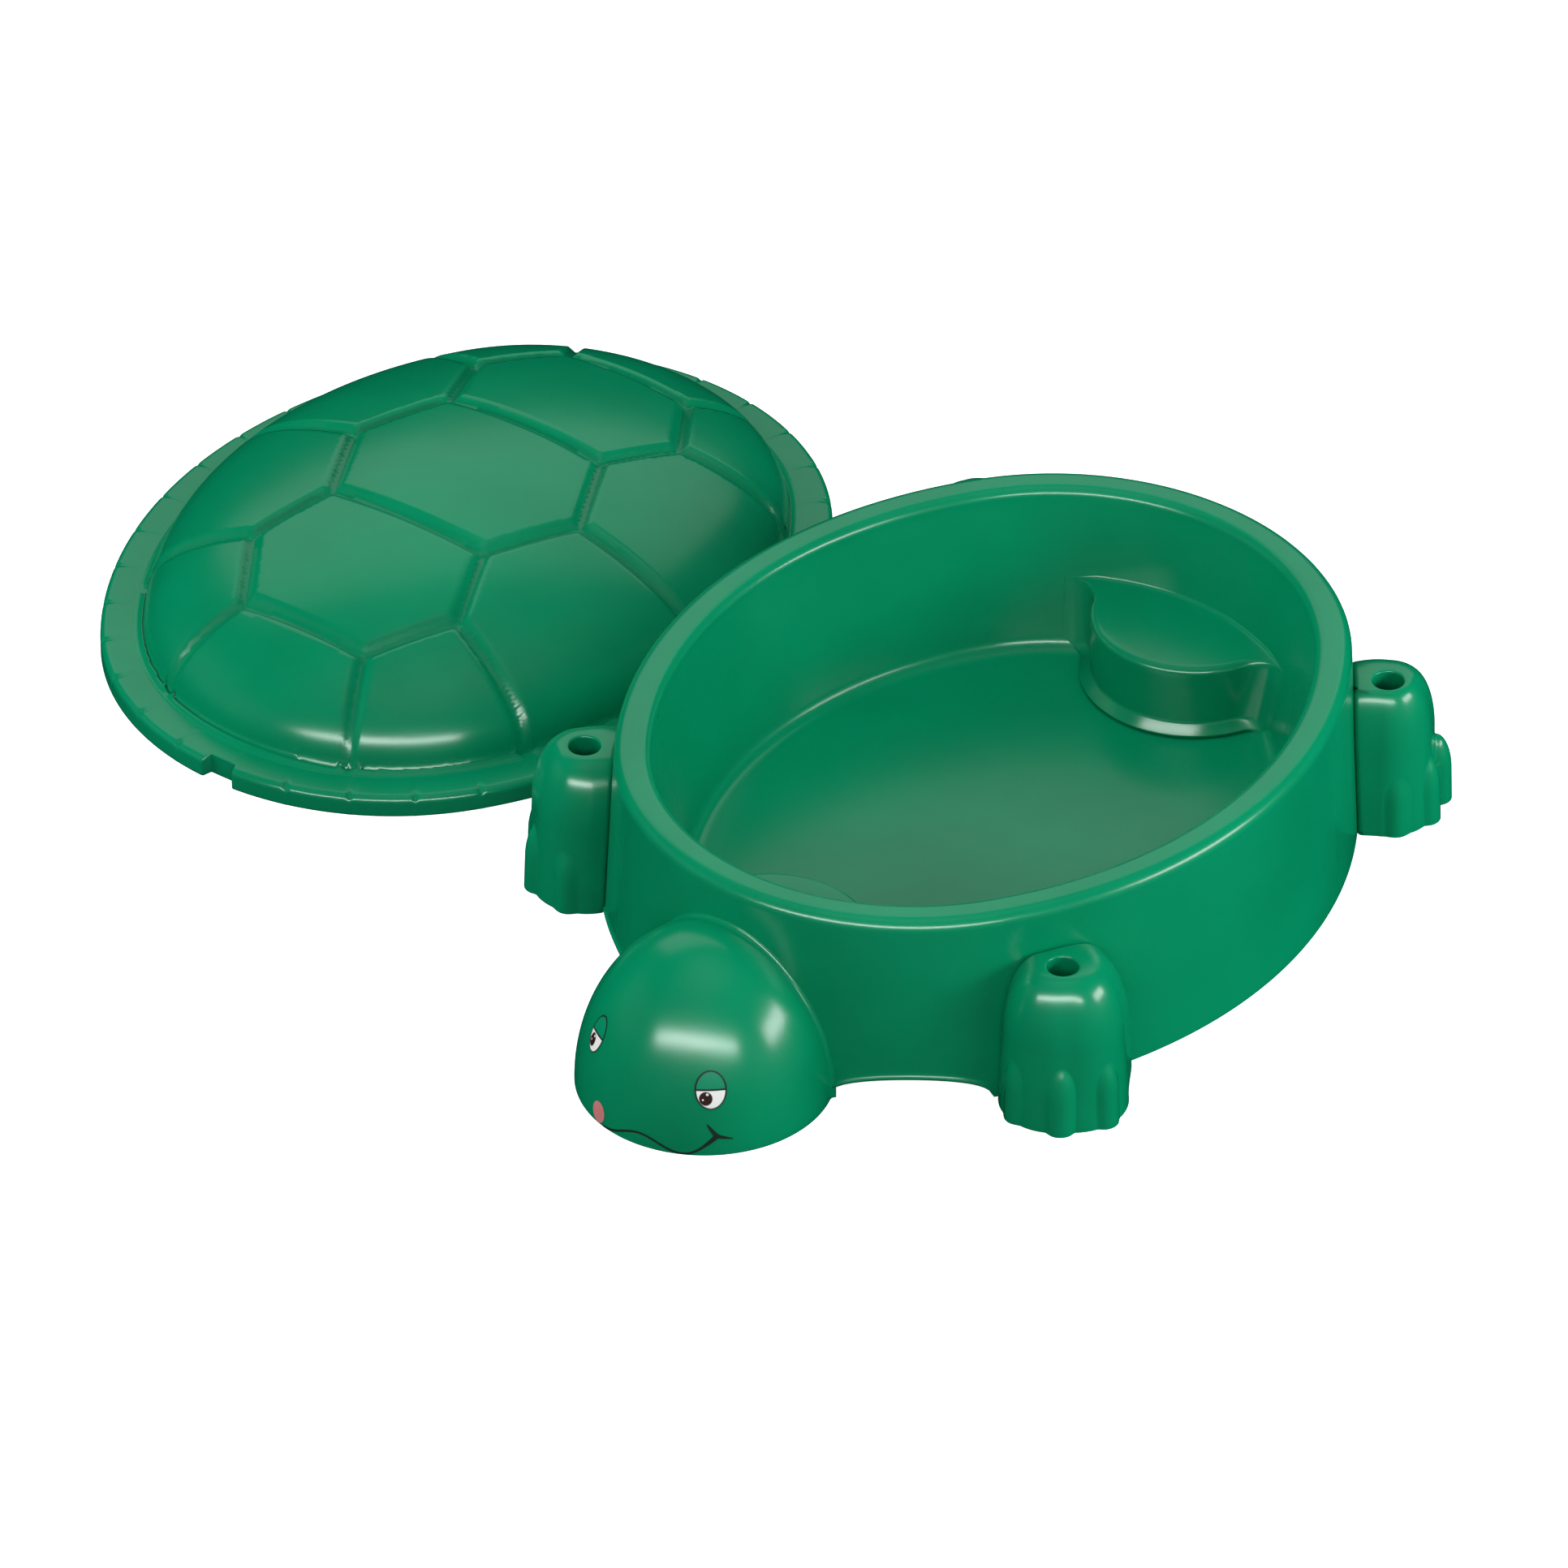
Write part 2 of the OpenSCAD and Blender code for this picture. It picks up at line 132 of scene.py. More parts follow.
def oval_ring(side_steps, end_steps):
    """Points on the rim's outline and the outward direction at each. The oval is four arcs,
    two sides and two ends, and every arc is stepped evenly by angle."""
    side = np.linspace(-JOIN_ANGLE, JOIN_ANGLE, side_steps, endpoint=False)
    end = np.linspace(JOIN_ANGLE, math.pi - JOIN_ANGLE, end_steps, endpoint=False)
    angle = np.concatenate([side, end, side + math.pi, end + math.pi])
    turn = np.stack([np.cos(angle), np.sin(angle)], -1)
    centre = np.concatenate([np.tile([-SIDE_CENTRE, 0], (side_steps, 1)),
                             np.tile([0, END_CENTRE], (end_steps, 1)),
                             np.tile([SIDE_CENTRE, 0], (side_steps, 1)),
                             np.tile([0, -END_CENTRE], (end_steps, 1))])
    radius = np.tile(np.repeat([SIDE_RADIUS, END_RADIUS], [side_steps, end_steps]), 2)
    return centre + radius[:, None] * turn, turn


def outside_rim(x, y):
    """Distance outside the rim's outline, and the direction away from it, from whichever
    arc's centre the point looks out from."""
    at_end = np.abs(y) - END_CENTRE > np.abs(x) * 0.75
    cx = np.where(at_end, 0, -np.sign(x) * SIDE_CENTRE)
    cy = np.where(at_end, np.sign(y) * END_CENTRE, 0)
    reach = np.hypot(x - cx, y - cy)
    away = np.stack([(x - cx) / reach, (y - cy) / reach], -1)
    return reach - np.where(at_end, END_RADIUS, SIDE_RADIUS), away


def arc(centre_out, centre_up, radius, start, stop, steps):
    """Points of a round corner in a section, from one angle to another in degrees."""
    a = np.radians(np.linspace(start, stop, steps))
    return np.stack([centre_out + radius * np.cos(a), centre_up + radius * np.sin(a)], -1)


def smooth_step(x):
    """0 below 0 and 1 above 1, with a smooth rise between."""
    x = np.clip(x, 0, 1)
    return x * x * (3 - 2 * x)


def grid_piece(name, points, paint, wrap=False, flip=False, cut_ground=False, skin=SKIN):
    """Puts a grid of points (rows, columns, xyz in millimetres) into a mesh, a face to each
    cell, joins doubled points, and gives the sheet its thickness on the inner side."""
    rows, columns = points.shape[:2]
    index = np.arange(rows * columns).reshape(rows, columns)
    if wrap:
        index = np.concatenate([index, index[:, :1]], 1)
    quads = np.stack([index[:-1, :-1], index[:-1, 1:], index[1:, 1:], index[1:, :-1]], -1)
    quads = quads.reshape(-1, 4)
    if flip:
        quads = quads[:, ::-1]
    mesh = bpy.data.meshes.new(name)
    mesh.from_pydata((points.reshape(-1, 3) * 0.001).tolist(), [], quads.tolist())
    shape = bmesh.new()
    shape.from_mesh(mesh)
    bmesh.ops.remove_doubles(shape, verts=shape.verts, dist=2e-5)
    bmesh.ops.dissolve_degenerate(shape, edges=shape.edges, dist=1e-5)
    if cut_ground:
        bmesh.ops.bisect_plane(shape, geom=shape.verts[:] + shape.edges[:] + shape.faces[:],
                               plane_co=(0, 0, 0.0002), plane_no=(0, 0, 1), clear_inner=True)
    shape.to_mesh(mesh)
    shape.free()
    mesh.shade_smooth()
    piece = bpy.data.objects.new(name, mesh)
    bpy.context.scene.collection.objects.link(piece)
    mesh.materials.append(paint)
    if skin:
        wall = piece.modifiers.new("wall", "SOLIDIFY")
        wall.thickness = skin * 0.001
        wall.offset = -1
        wall.use_even_offset = True
        wall.thickness_clamp = 2.0
    return piece


class Socket:
    """A number on a node's socket. Ordinary operators on it add Math nodes."""

    def __init__(self, paint, link):
        self.paint, self.link = paint, link

    def maths(self, operation, *values):
        return self.paint.node("ShaderNodeMath", {"operation": operation}, *values)

    def __add__(self, other):
        return self.maths("ADD", self, other)

    def __sub__(self, other):
        return self.maths("SUBTRACT", self, other)

    def __rsub__(self, other):
        return self.maths("SUBTRACT", other, self)

    def __mul__(self, other):
        return self.maths("MULTIPLY", self, other)

    def __truediv__(self, other):
        return self.maths("DIVIDE", self, other)

    def __lt__(self, other):
        return self.maths("LESS_THAN", self, other)

    def largest(self, other):
        return self.maths("MAXIMUM", self, other)

    def between(self, low, high):
        """0 below low and 1 above high, with an even rise between them."""
        return self.paint.node("ShaderNodeMapRange", {}, self, low, high, 0.0, 1.0)

    __radd__ = __add__
    __rmul__ = __mul__


class Paint:
    """A material whose nodes are added one call at a time."""

    def __init__(self, name, **steady):
        self.material = bpy.data.materials.new(name)
        self.material.use_nodes = True
        self.tree = self.material.node_tree
        self.shader = self.tree.nodes["Principled BSDF"]
        for key, value in steady.items():
            self.shader.inputs[key.replace("_", " ")].default_value = value

    def node(self, kind, settings, *values, out=0, **named):
        """Adds a node, applies its settings, then sets or links its sockets in order."""
        made = self.tree.nodes.new(kind)
        for key, value in settings.items():
            setattr(made, key, value)
        for key, value in list(enumerate(values)) + list(named.items()):
            self.set(made.inputs[key.replace("_", " ") if isinstance(key, str) else key], value)
        return Socket(self, made.outputs[out])

    def set(self, socket, value):
        if isinstance(value, Socket):
            self.tree.links.new(value.link, socket)
        else:
            socket.default_value = value

    def place(self):
        return self.node("ShaderNodeTexCoord", {}, out="Object")

    def noise(self, place, scale, detail=2.0, roughness=0.5):
        return self.node("ShaderNodeTexNoise", {}, Vector=place, Scale=scale, Detail=detail,
                         Roughness=roughness)

    def blend(self, share, low, high):
        """Colour low where share is 0 and high where it is 1."""
        made = self.tree.nodes.new("ShaderNodeMix")
        made.data_type = "RGBA"
        self.set(made.inputs[0], share)
        self.set(made.inputs[6], low)
        self.set(made.inputs[7], high)
        return Socket(self, made.outputs[2])

    def wear(self, key, value):
        self.set(self.shader.inputs[key], value)


GREEN, DEEP_GREEN = (0.0, 0.235, 0.104, 1), (0.0, 0.208, 0.09, 1)


def moulded_green(name):
    """Satin green polyethylene: cloudy in depth, with the faint orange peel and the soft
    polish marks of a rotational mould."""
    paint = Paint(name, IOR=1.5, Specular_IOR_Level=0.45)
    place = paint.place()
    cloud = paint.noise(place, 6.0, 3.0)
    grain = paint.noise(place, 900.0, 2.0)
    peel = paint.noise(place, 160.0, 2.0)
    paint.wear("Base Color", paint.blend(cloud.between(0.35, 0.68), GREEN, DEEP_GREEN))
    polish = paint.noise(place, 22.0, 4.0)
    paint.wear("Roughness", 0.18 + polish * 0.07 + grain * 0.03)
    bump = paint.node("ShaderNodeBump", {}, Strength=0.06, Distance=0.0006,
                      Height=peel * 0.8 + grain * 0.2)
    paint.wear("Normal", bump)
    return paint.material


tub_green = moulded_green("tub_green")


def arch_height(away):
    """Height of the wall's lower edge: a shallow arch on each side of the head, between the
    head and the front leg, as a smooth bump in the direction of the wall."""
    azimuth = np.degrees(np.arctan2(away[:, 0], -away[:, 1]))
    share = np.clip(1 - np.abs(np.abs(azimuth) - ARCH_MIDDLE) / ARCH_HALF, 0, 1)
    return ARCH_HEIGHT * np.sqrt(1 - (1 - share) ** 2)


def tub_skin():
    """The section's rows, swept round the oval: row by row a distance outside the rim and a
    height. The outer wall's rows are shared out between its lower edge and its top."""
    rim, away = oval_ring(120, 106)
    arch = arch_height(away)[None]
    share = np.concatenate([[0, 0.006, 0.013, 0.021, 0.03, 0.042, 0.06], np.linspace(0.09, 1, 30)])
    height = arch + (WALL_TOP - arch) * share[:, None]
    # A small bead stiffens the arched edge.
    above_edge = (height - arch - BEAD_HEIGHT) / BEAD_HALF
    bead = BEAD_OUT * np.exp(-above_edge ** 2) * smooth_step(arch / 8)
    wall = np.stack([WALL_FLARE * (1 - height / WALL_TOP) + bead, height], -1)
    lean = math.degrees(math.atan2(BOWL_DRAFT, BOWL_TOP - FLOOR_HEIGHT))
    foot = -RIM_BAND - BOWL_DRAFT - FLOOR_ROUND * math.tan(math.radians((90 - lean) / 2))
    rest = np.concatenate([
        arc(-OUTER_SHOULDER, WALL_TOP, OUTER_SHOULDER, 0, 90, 11)[1:],
        np.linspace([-OUTER_SHOULDER, RIM_HEIGHT],
                    [-RIM_BAND + INNER_SHOULDER, RIM_HEIGHT], 5)[1:-1],
        arc(-RIM_BAND + INNER_SHOULDER, BOWL_TOP, INNER_SHOULDER, 90, 180, 11),
        np.linspace([-RIM_BAND, BOWL_TOP],
                    [-RIM_BAND - BOWL_DRAFT + 3.6, FLOOR_HEIGHT + 17.6], 20)[1:],
        arc(foot, FLOOR_HEIGHT + FLOOR_ROUND, FLOOR_ROUND, -lean, -90, 11)])
    section = np.concatenate([wall, np.repeat(rest[:, None], len(rim), 1)])
    plan = rim[None] + section[..., :1] * away[None]
    skin = np.concatenate([plan, section[..., 1:]], -1)
    # The floor closes to the middle in shrinking ovals.
    inward = np.linspace(1, 0, 16)[1:, None, None]
    floor = np.concatenate([plan[-1:] * inward, np.full((15, len(rim), 1), FLOOR_HEIGHT)], -1)
    return np.concatenate([skin, floor])


tub = grid_piece("tub_skin", tub_skin(), tub_green, wrap=True)
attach(tub, "tub")
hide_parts("rim_wall", "bowl")

# The crossed ribs under the floor keep their plain shape and take the same plastic.
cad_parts["floor_ribs"].data.materials.clear()
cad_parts["floor_ribs"].data.materials.append(tub_green)


# --- The head ------------------------------------------------------------------------------
# A hollow dome of the same moulding, taller than it is wide. It runs into the wall with a
# small round, which catches the light as a thin line.
HEAD_CENTRE = np.array([0, -HALF_LENGTH - 39.0, 0])
HEAD_SIZE = np.array([139.0, 139.0, 184.0])
HEAD_WELD, LEG_WELD, WELD_SINK = 5.0, 6.0, 0.2
WALL_RISE = math.hypot(WALL_FLARE, WALL_TOP)


def wall_gap(points):
    """Distance in front of the tub's sloping outer wall, and the wall's outward direction."""
    out, away = outside_rim(points[..., 0], points[..., 1])
    gap = ((out - WALL_FLARE) * WALL_TOP + points[..., 2] * WALL_FLARE) / WALL_RISE
    lift = np.full(out.shape + (1,), WALL_FLARE / WALL_RISE)
    return gap, np.concatenate([away * WALL_TOP / WALL_RISE, lift], -1)


def facing(points):
    """Outward directions on a grid, square to its rows and columns."""
    across = np.gradient(points, axis=1)
    along = np.gradient(points, axis=0)
    square = np.cross(along, across)
    return square / np.maximum(np.linalg.norm(square, axis=-1, keepdims=True), 1e-9)


def pick(values, place):
    """Reads each column of a grid at its own fractional row."""
    low = np.clip(np.floor(place).astype(int), 0, len(values) - 2)
    share = (place - low)[..., None]
    column = np.arange(values.shape[1])[None]
    return values[low, column] * (1 - share) + values[low + 1, column] * share


def weld_to_wall(points, normals, round_size, rows, round_rows=7):
    """Ends each column where a ball of the given radius touches both the piece and the wall,
    then carries it round the ball to the wall and a hair below the wall's face."""
    room = wall_gap(points + round_size * normals)[0] - round_size
    blocked = room < 0
    first = np.where(blocked.any(0), blocked.argmax(0), len(points) - 1)
    first = np.maximum(first, 1)
    column = np.arange(points.shape[1])
    before, after = room[first - 1, column], room[first, column]
    share = np.where(after < 0, before / np.maximum(before - after, 1e-9), 1.0)
    stop = (first - 1 + np.clip(share, 0, 1))[None]
    # The rows are shared out by length along each column.
    step = np.linalg.norm(np.diff(points, axis=0), axis=-1)
    length = np.concatenate([np.zeros((1, points.shape[1])), np.cumsum(step, 0)])
    whole = pick(length[..., None], stop)[..., 0]
    wanted = np.linspace(0, 1, rows)[:, None] * whole
    place = np.stack([np.interp(wanted[:, j], length[:, j], np.arange(len(length)))
                      for j in range(points.shape[1])], 1)
    body = pick(points, place)
    normal = pick(normals, stop)
    normal /= np.linalg.norm(normal, axis=-1, keepdims=True)
    ball = pick(points, stop) + round_size * normal
    wall = wall_gap(ball)[1]
    # Directions from the ball's centre swing from the piece's face to the wall's.
    swing = np.linspace(0, 1, round_rows)[1:, None, None]
    between = np.arccos(np.clip((normal * wall).sum(-1, keepdims=True), -1, 1)) + 1e-6
    towards = (np.sin((1 - swing) * between) * normal + np.sin(swing * between) * wall)
    weld = ball - towards / np.sin(between) * (round_size + WELD_SINK * swing ** 3)
    welded = (after < 0)[None, :, None]
    return np.concatenate([body, np.where(welded, weld, body[-1:])])


def head_dome():
    """A half-ellipsoid, its poles in line with the tub: a column runs from the tip of the
    nose over the head to the wall, and the columns fan out from the ground on one side
    over the top to the ground on the other."""
    fan = np.radians(np.linspace(-8, 188, 181))[None]
    back = np.radians(np.linspace(0, 125, 400))[:, None]
    unit = np.stack([np.sin(back) * np.cos(fan), -np.cos(back) * np.ones_like(fan),
                     np.sin(back) * np.sin(fan)], -1)
    normal = unit / HEAD_SIZE
    normal /= np.linalg.norm(normal, axis=-1, keepdims=True)
    return weld_to_wall(HEAD_CENTRE + unit * HEAD_SIZE, normal, HEAD_WELD, 120)


head = grid_piece("head_dome", head_dome(), tub_green, flip=True, cut_ground=True)
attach(head, "tub")
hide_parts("head")


# --- The four legs -------------------------------------------------------------------------
# Each leg is a hollow, round-topped column with three toes and a socket for a pole in its
# top. It is part of the same moulding and runs back into the wall like the head.
LEG_HEIGHT, LEG_LAND, LEG_SPLAY = 176.0, 20.5, 0.13
SHOULDER_HEIGHT = LEG_HEIGHT * 0.55
SHOULDER_SHARE = 0.92
SOCKET, SOCKET_EDGE, SOCKET_DEPTH = 17.0, 2.5, 60.0
TOE, TOE_HEIGHT, TOE_REACH = 17.0, 84.0, 63.0
TOE_SOFT, TOE_LEAN, TOE_CAP = 9.0, 3.0, 42.0
FOOT_SETBACK = 11.0
BELOW_GROUND = 14.0
TOP_FALL, TOP_FALL_BACK, TOP_FALL_ASIDE, TOP_FALL_LIMIT = 9.0, 40.0, 46.0, 26.0


def leg_outline(radius, angle, near, far):
    """Reach from the hole's axis to the leg's outline in each direction: a flat front between
    two quarter rounds of the radius, centred at near and far across the leg, and sides
    behind them that splay a little towards the wall."""
    s, c = np.sin(angle), np.cos(angle)
    flat = radius / np.maximum(c, 1e-3)
    middle = np.where(flat * s > far, far, np.where(flat * s < near, near, np.nan))
    bend = middle * s + np.sqrt(np.maximum(radius ** 2 - (middle * c) ** 2, 0))
    front = np.where(np.isnan(middle), flat, bend)
    behind = np.maximum(-c, 0) / np.maximum(np.abs(s), 0.1)
    side = np.where(s > 0, far + radius, radius - near) / np.maximum(np.abs(s), 0.1)
    side = side * (1 + LEG_SPLAY * smooth_step(behind / 1.2))
    return np.where(c > 0, front, side)


def leg_column(place, turn, foot, near, far, foot_shift, toe_turns):
    """A column of the grid runs from the foot of the socket up its bore, out over the land
    and down the leg's side, where the flat front widens on the way down. The toes are upright
    round-topped rods that melt into the leg."""
    bore = np.stack([np.full(12, SOCKET), np.linspace(LEG_HEIGHT - SOCKET_DEPTH,
                                                      LEG_HEIGHT - SOCKET_EDGE, 12)], -1)
    edge = arc(SOCKET + SOCKET_EDGE, LEG_HEIGHT - SOCKET_EDGE, SOCKET_EDGE, 180, 90, 7)[1:]
    land = np.stack([np.linspace(0, 1, 30)[1:], np.full(29, LEG_HEIGHT)], -1)
    shoulder = foot * SHOULDER_SHARE
    drop = np.radians(np.linspace(0, 90, 120))[1:]
    dome = np.stack([LEG_LAND + (shoulder - LEG_LAND) * np.sin(drop),
                     SHOULDER_HEIGHT + (LEG_HEIGHT - SHOULDER_HEIGHT) * np.cos(drop)], -1)
    slope = (foot - shoulder) / SHOULDER_HEIGHT
    side = np.stack([np.linspace(shoulder, foot + slope * BELOW_GROUND, 140)[1:],
                     np.linspace(SHOULDER_HEIGHT, -BELOW_GROUND, 140)[1:]], -1)
    angle = np.radians(np.linspace(0, 360, 361)[:-1])[None]
    outer = np.concatenate([dome, side])
    height = np.repeat(outer[:, 1:], angle.shape[1], 1)
    widen = np.sqrt(np.clip((outer[:, :1] - LEG_LAND) / (shoulder - LEG_LAND), 0, 1))
    start = SOCKET + SOCKET_EDGE
    reach = np.maximum(leg_outline(outer[:, :1], angle, near * widen, far * widen), start + 1.2)
    for toe_turn in toe_turns:
        swing = math.radians(toe_turn)
        ahead = TOE_REACH * math.cos(swing) - FOOT_SETBACK
        aside = TOE_REACH * math.sin(swing) + foot_shift
        away = math.hypot(ahead, aside)
        apart = (angle - math.atan2(aside, ahead) + math.pi) % (2 * math.pi) - math.pi
        cap = TOE * np.clip((height - TOE_HEIGHT) / TOE_CAP + 1, 0, 1)
        reclined = away - TOE_LEAN * np.clip(height / TOE_HEIGHT, 0, 1)
        half = TOE ** 2 - cap ** 2 - (reclined * np.sin(apart)) ** 2
        toe = np.where((half > 0) & (np.abs(apart) < 1), reclined * np.cos(apart)
                       + np.sqrt(np.maximum(half, 0)), 0)
        lap = np.clip(0.5 + (toe - reach) / TOE_SOFT, 0, 1)
        reach = reach + (toe - reach) * lap + 0.25 * TOE_SOFT * lap * (1 - lap)
    inner = np.concatenate([bore, edge])
    land_edge = leg_outline(LEG_LAND, angle, 0, 0).clip(start + 1.0)
    land_reach = start + (land_edge - start) * land[:, :1]
    reach = np.concatenate([np.repeat(inner[:, :1], angle.shape[1], 1), land_reach, reach])
    height = np.concatenate([np.repeat(np.concatenate([inner, land])[:, 1:], angle.shape[1], 1),
                             height])
    # The top falls away a little on both sides of its middle, further back towards the wall.
    behind, across = np.maximum(-reach * np.cos(angle), 0), reach * np.sin(angle)
    high = smooth_step((height - 60) / 90)
    fall = TOP_FALL * (behind / TOP_FALL_BACK) ** 2 * (across / TOP_FALL_ASIDE) ** 2
    height = height - high * np.minimum(fall, TOP_FALL_LIMIT)
    way = angle + math.radians(turn)
    points = np.stack([place[0] + reach * np.cos(way), place[1] + reach * np.sin(way), height], -1)
    wide = np.concatenate([points[:, -2:], points, points[:, :2]], 1)
    normals = -facing(wide)[:, 2:-2]
    count = len(inner)
    outer_part = weld_to_wall(points[count - 1:], normals[count - 1:], LEG_WELD, 110)
    return np.concatenate([points[:count - 1], outer_part])


# Each leg's place and turn, foot radius, the middles of its quarter rounds, its foot's shift
# across it, and its toes' turns
LEGS = {
    "leg_front_left": ((321.8, -284.4), -50, 60.0, -7.0, 12.0, 4.0, (-52, -7, 38)),
    "leg_rear_left": ((285.9, 342.9), 28, 53.0, 7.0, 24.0, 28.0, (-65, -28, 9)),
}
for leg_name, leg_shape in LEGS.items():
    for side, mirror in (("left", 1), ("right", -1)):
        name = leg_name.replace("left", side)
        leg = grid_piece(name + "_column", leg_column(*leg_shape) * [mirror, 1, 1],
                         tub_green, wrap=True, flip=mirror > 0, cut_ground=True)
        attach(leg, "tub")
        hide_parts(name)


# --- The two seats -------------------------------------------------------------------------
# A round lobe stands in each end of the bowl. Its front sweeps into the bowl's wall in an
# S, and its top edge, its foot and the line along the wall are softly rounded.
SEAT_CENTRE, SEAT_RADIUS, SEAT_TOP = 375.0, 112.0, 125.0
SEAT_SWEEP, SEAT_EDGE, SEAT_FOOT, SEAT_BACK = 32.0, 8.0, 6.0, 5.0


def bowl_radius(height):
    """Radius of the bowl's end wall about the end's centre, at a height."""
    return END_RADIUS - RIM_BAND - BOWL_DRAFT * (BOWL_TOP - height) / (BOWL_TOP - FLOOR_HEIGHT)


def seat_outline(inset, height):
    """The S-shaped front, from the wall round the lobe to the wall: a sweep that touches the
    wall and the lobe, the lobe, and the sweep again. inset draws the whole line inwards."""
    wall = bowl_radius(height)
    sweep = SEAT_SWEEP + inset
    back = SEAT_CENTRE - END_CENTRE
    out = wall - sweep
    fy = (back ** 2 + out ** 2 - (SEAT_RADIUS + SEAT_SWEEP) ** 2) / (2 * back)
    fx = math.sqrt(out ** 2 - fy ** 2)
    at_wall = math.atan2(fy, fx)
    at_lobe = math.atan2(back - fy, -fx)
    turn = np.linspace(at_wall, at_lobe, 40)
    sweep_line = np.stack([fx + sweep * np.cos(turn), fy + END_CENTRE + sweep * np.sin(turn)], -1)
    lobe_turn = np.linspace(at_lobe - math.pi, -at_lobe, 100)[1:-1]
    lobe = np.stack([(SEAT_RADIUS - inset) * np.cos(lobe_turn),
                     SEAT_CENTRE + (SEAT_RADIUS - inset) * np.sin(lobe_turn)], -1)
    line = np.concatenate([sweep_line, lobe, sweep_line[::-1] * [-1, 1]])
    return np.concatenate([line, np.full((len(line), 1), height)], -1)


def seat_top():
    """Rows run up from the floor: round the foot, up the front, over the edge, back across
    the flat top, and up on to the bowl's wall."""
    foot = arc(-SEAT_FOOT, FLOOR_HEIGHT + SEAT_FOOT, SEAT_FOOT, 270, 360, 7)
    up = np.linspace(FLOOR_HEIGHT + SEAT_FOOT, SEAT_TOP - SEAT_EDGE, 14)
    front = np.stack([np.zeros(14), up], -1)
    edge = arc(SEAT_EDGE, SEAT_TOP - SEAT_EDGE, SEAT_EDGE, 180, 90, 10)
    foot[:, 0] = -SEAT_FOOT - foot[:, 0] - SEAT_FOOT
    foot[0, 1] -= 0.2
    section = np.concatenate([foot, front[1:], edge[1:]])
    rows = [seat_outline(inset, height) for inset, height in section]
    last = rows[-1]
    x = last[:, 0]

    def wall_y(height):
        return END_CENTRE + np.sqrt(np.maximum(bowl_radius(height) ** 2 - x ** 2, 0))

    width = np.maximum(wall_y(SEAT_TOP) - last[:, 1], 0)
    turn_in = np.minimum(SEAT_BACK, 0.4 * width)
    for share in np.linspace(0, 1, 15)[1:]:
        row = last.copy()
        row[:, 1] += (width - turn_in) * share
        rows.append(row)
    for share in np.linspace(0, 1, 7)[1:]:
        # A curve from the flat to the wall, drawn towards the corner between them
        row = last.copy()
        y_end = wall_y(SEAT_TOP + turn_in) + 0.2
        row[:, 1] = ((1 - share) ** 2 * (last[:, 1] + width - turn_in)
                     + 2 * share * (1 - share) * (last[:, 1] + width) + share ** 2 * y_end)
        row[:, 2] = SEAT_TOP + share ** 2 * turn_in
        rows.append(row)
    return np.stack(rows)


for name, mirror in (("seat_rear", 1), ("seat_front", -1)):
    seat = grid_piece(name + "_lobe", seat_top() * [1, mirror, 1], tub_green, flip=mirror > 0)
    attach(seat, "tub")
    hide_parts(name)


# --- The face ------------------------------------------------------------------------------
# Printed stickers on the head: two sleepy eyes with green lids, a smiling mouth line with a
# fork at its corner, and a pink spot at its other end. Each is a thin film on the dome.
STICKER, STROKE_STEP = 0.4, 0.05
FACE_TURN = 6
LID_LINE = 0.03
MOUTH_TOP, MOUTH_SWING, MOUTH_DIP, MOUTH_CURL = 16.2, 7.2, 48.0, 0.0138


def on_head(facing_turn, across, height, lift=STICKER):
    """Points of the head's surface seen from straight ahead of a direction: a distance
    across, a height, and as deep as the dome is there. lift stands them off the surface."""
    turn = math.radians(facing_turn)
    ring = HEAD_SIZE[0] * np.sqrt(np.maximum(1 - (height / HEAD_SIZE[2]) ** 2, 0))
    deep = np.sqrt(np.maximum(ring ** 2 - across ** 2, 0))
    ahead = np.array([math.sin(turn), -math.cos(turn), 0])
    aside = np.array([math.cos(turn), math.sin(turn), 0])
    local = (deep[..., None] * ahead + across[..., None] * aside
             + height[..., None] * np.array([0, 0, 1]))
    normal = local / HEAD_SIZE ** 2
    normal /= np.linalg.norm(normal, axis=-1, keepdims=True)
    return HEAD_CENTRE + local + lift * normal


def oval_sticker(name, facing_turn, height, width, tall, paint):
    """An ellipse on the head in rings about its middle. Its UV map runs from -1 to 1 over
    the ellipse, both ways, so that the print follows the sticker."""
    ring = np.linspace(0, 1, 12)[:, None]
    turn = np.linspace(0, 2 * math.pi, 65)[None, :-1]
    u, v = ring * np.cos(turn), ring * np.sin(turn)
    points = on_head(facing_turn, u * width / 2, height + v * tall / 2)
    piece = grid_piece(name, points, paint, wrap=True, flip=True, skin=0)
    layer = piece.data.uv_layers.new(name="print")
    corners = np.zeros(len(piece.data.loops), dtype=np.int32)
    piece.data.loops.foreach_get("vertex_index", corners)
    places = np.zeros(len(piece.data.vertices) * 3)
    piece.data.vertices.foreach_get("co", places)
    local = places.reshape(-1, 3) * 1000 - HEAD_CENTRE
    aside = math.radians(facing_turn)
    across = local @ np.array([math.cos(aside), math.sin(aside), 0])
    flat = np.stack([across / (width / 2), (local[:, 2] - height) / (tall / 2)], -1)
    layer.data.foreach_set("uv", flat[corners].astype(np.float32).ravel())
    return piece


